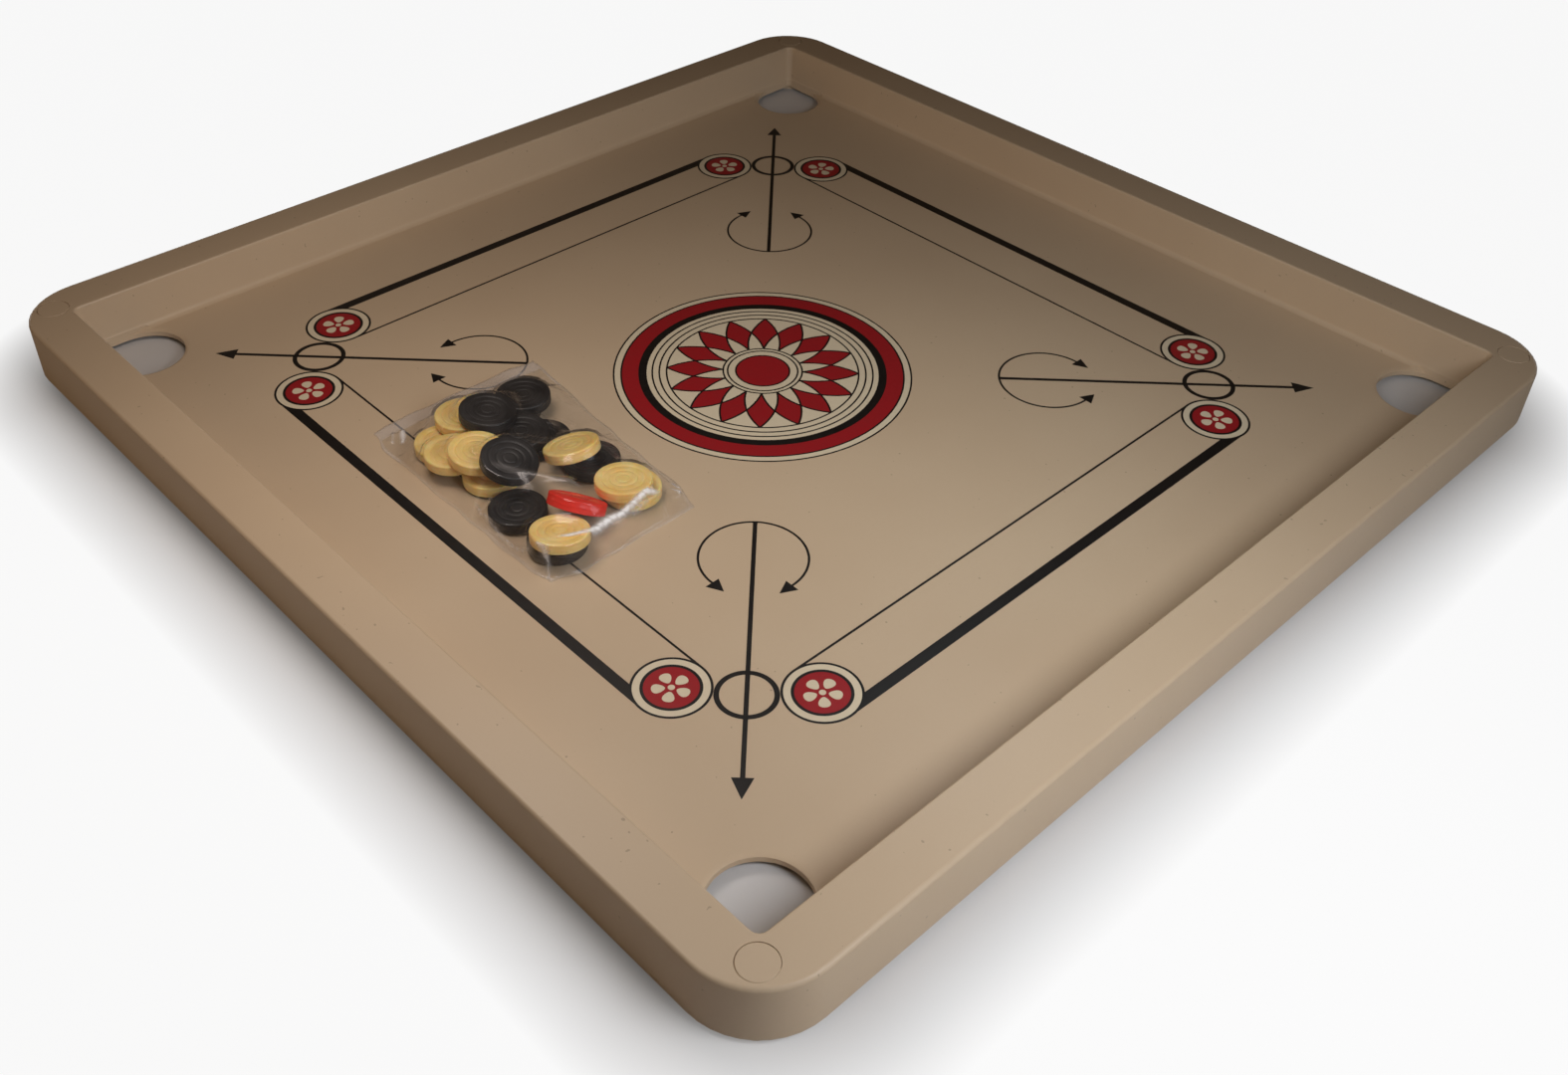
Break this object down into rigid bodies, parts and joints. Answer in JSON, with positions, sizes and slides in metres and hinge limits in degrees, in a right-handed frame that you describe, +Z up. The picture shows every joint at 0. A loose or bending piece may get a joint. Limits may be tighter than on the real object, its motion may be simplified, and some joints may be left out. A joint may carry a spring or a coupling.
{
  "type": "carrom board",
  "caption": "Small square moulded carrom board with a hollow rim, corner pockets and a printed field, with a clear packet of round playing men lying on it.",
  "frame": {"origin": "centre of the board on the table plane, under the middle of the square outline", "axes": "+Z up; +X and +Y along the board's sides; the front corner is at +X -Y, the right corner at +X +Y"},
  "size_m": [0.508, 0.508, 0.0292],
  "materials": {
    "board_plastic": "satin injection-moulded beige plastic with printed black and red lines",
    "foot_plastic": "satin moulded beige plastic",
    "cream_plastic": "moulded cream plastic with concentric rings",
    "black_plastic": "moulded black plastic with concentric rings",
    "red_plastic": "moulded red plastic with concentric rings",
    "clear_film": "thin clear crinkled packing film, heat sealed at the edges"
  },
  "bodies": {
    "board": {"board_moulding": "board_plastic", "corner_foot_front": "foot_plastic", "corner_foot_right": "foot_plastic", "corner_foot_back": "foot_plastic", "corner_foot_left": "foot_plastic"},
    "packet": {"packet_film_lower": "clear_film", "packet_film_upper": "clear_film", "cream_man_1": "cream_plastic", "cream_man_2": "cream_plastic", "cream_man_3": "cream_plastic", "cream_man_4": "cream_plastic", "cream_man_5": "cream_plastic", "cream_man_6": "cream_plastic", "cream_man_7": "cream_plastic", "cream_man_8": "cream_plastic", "cream_man_9": "cream_plastic", "black_man_1": "black_plastic", "black_man_2": "black_plastic", "black_man_3": "black_plastic", "black_man_4": "black_plastic", "black_man_5": "black_plastic", "black_man_6": "black_plastic", "black_man_7": "black_plastic", "black_man_8": "black_plastic", "black_man_9": "black_plastic", "queen": "red_plastic"}
  },
  "joints": [
    {"name": "packet_lift", "type": "slide", "parent": "board", "child": "packet", "axis": [0, 0, 1], "range_m": [0, 0.12]}
  ]
}
